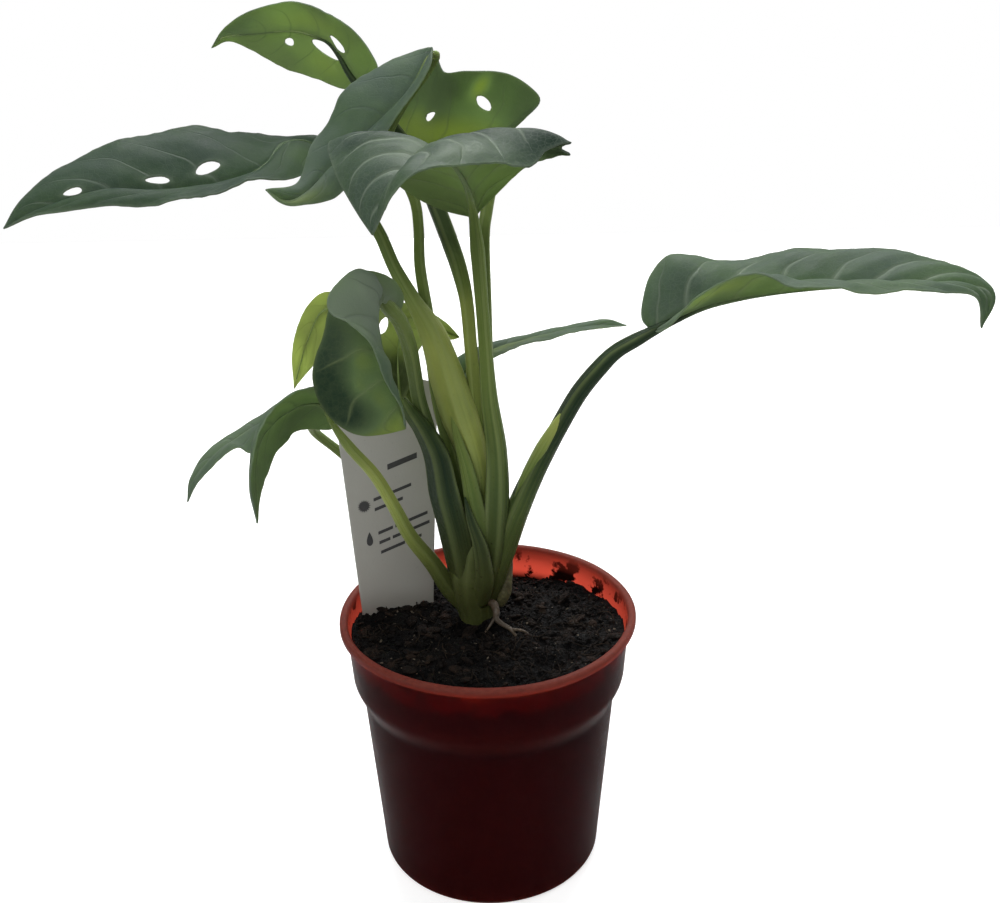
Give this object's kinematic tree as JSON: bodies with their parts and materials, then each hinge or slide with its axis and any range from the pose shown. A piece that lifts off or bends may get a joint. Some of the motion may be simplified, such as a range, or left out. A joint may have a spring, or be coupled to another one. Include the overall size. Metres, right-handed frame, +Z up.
{
  "type": "potted swiss cheese vine",
  "caption": "Young swiss cheese vine with holed, arching leaves on long stalks, in a small round red-brown nursery pot with dark soil and a bare plant label.",
  "frame": {"origin": "centre of the pot's underside, on the surface that it stands on", "axes": "+Z up along the pot's axis, +X to the right and +Y away in the plant's usual view, in which it faces -Y"},
  "size_m": [0.2874, 0.1454, 0.3005],
  "materials": {
    "pot_plastic": "thin moulded red-brown plastic, glossy outside, dusty on the lip",
    "soil_peat": "dark peat with fibres and bits of bark",
    "label_plastic": "white plastic tag, satin",
    "stalk_green": "fresh yellow-green stalks, satin",
    "leaf_top_left_green": "thin leathery leaf, satin, light through it",
    "leaf_top_drape_green": "thin leathery leaf, satin, light through it",
    "leaf_top_back_green": "thin leathery leaf, satin, light through it",
    "leaf_front_green": "thin leathery leaf, satin, light through it",
    "leaf_far_left_green": "thin leathery leaf, satin, light through it",
    "leaf_far_right_green": "thin leathery leaf, satin, light through it",
    "leaf_slim_right_green": "thin leathery leaf, satin, light through it",
    "leaf_mid_hood_green": "thin leathery leaf, satin, light through it",
    "leaf_mid_back_green": "thin leathery leaf, satin, light through it",
    "leaf_low_near_green": "thin leathery leaf, satin, light through it",
    "leaf_low_far_green": "thin leathery leaf, satin, light through it",
    "leaf_small_back_green": "thin leathery leaf, satin, light through it"
  },
  "bodies": {
    "root": {"pot": "pot_plastic", "soil": "soil_peat", "plant_label": "label_plastic", "stems": "stalk_green", "leaf_top_left": "leaf_top_left_green", "leaf_top_drape": "leaf_top_drape_green", "leaf_top_back": "leaf_top_back_green", "leaf_front": "leaf_front_green", "leaf_far_left": "leaf_far_left_green", "leaf_far_right": "leaf_far_right_green", "leaf_slim_right": "leaf_slim_right_green", "leaf_mid_hood": "leaf_mid_hood_green", "leaf_mid_back": "leaf_mid_back_green", "leaf_low_near": "leaf_low_near_green", "leaf_low_far": "leaf_low_far_green", "leaf_small_back": "leaf_small_back_green"}
  },
  "joints": []
}
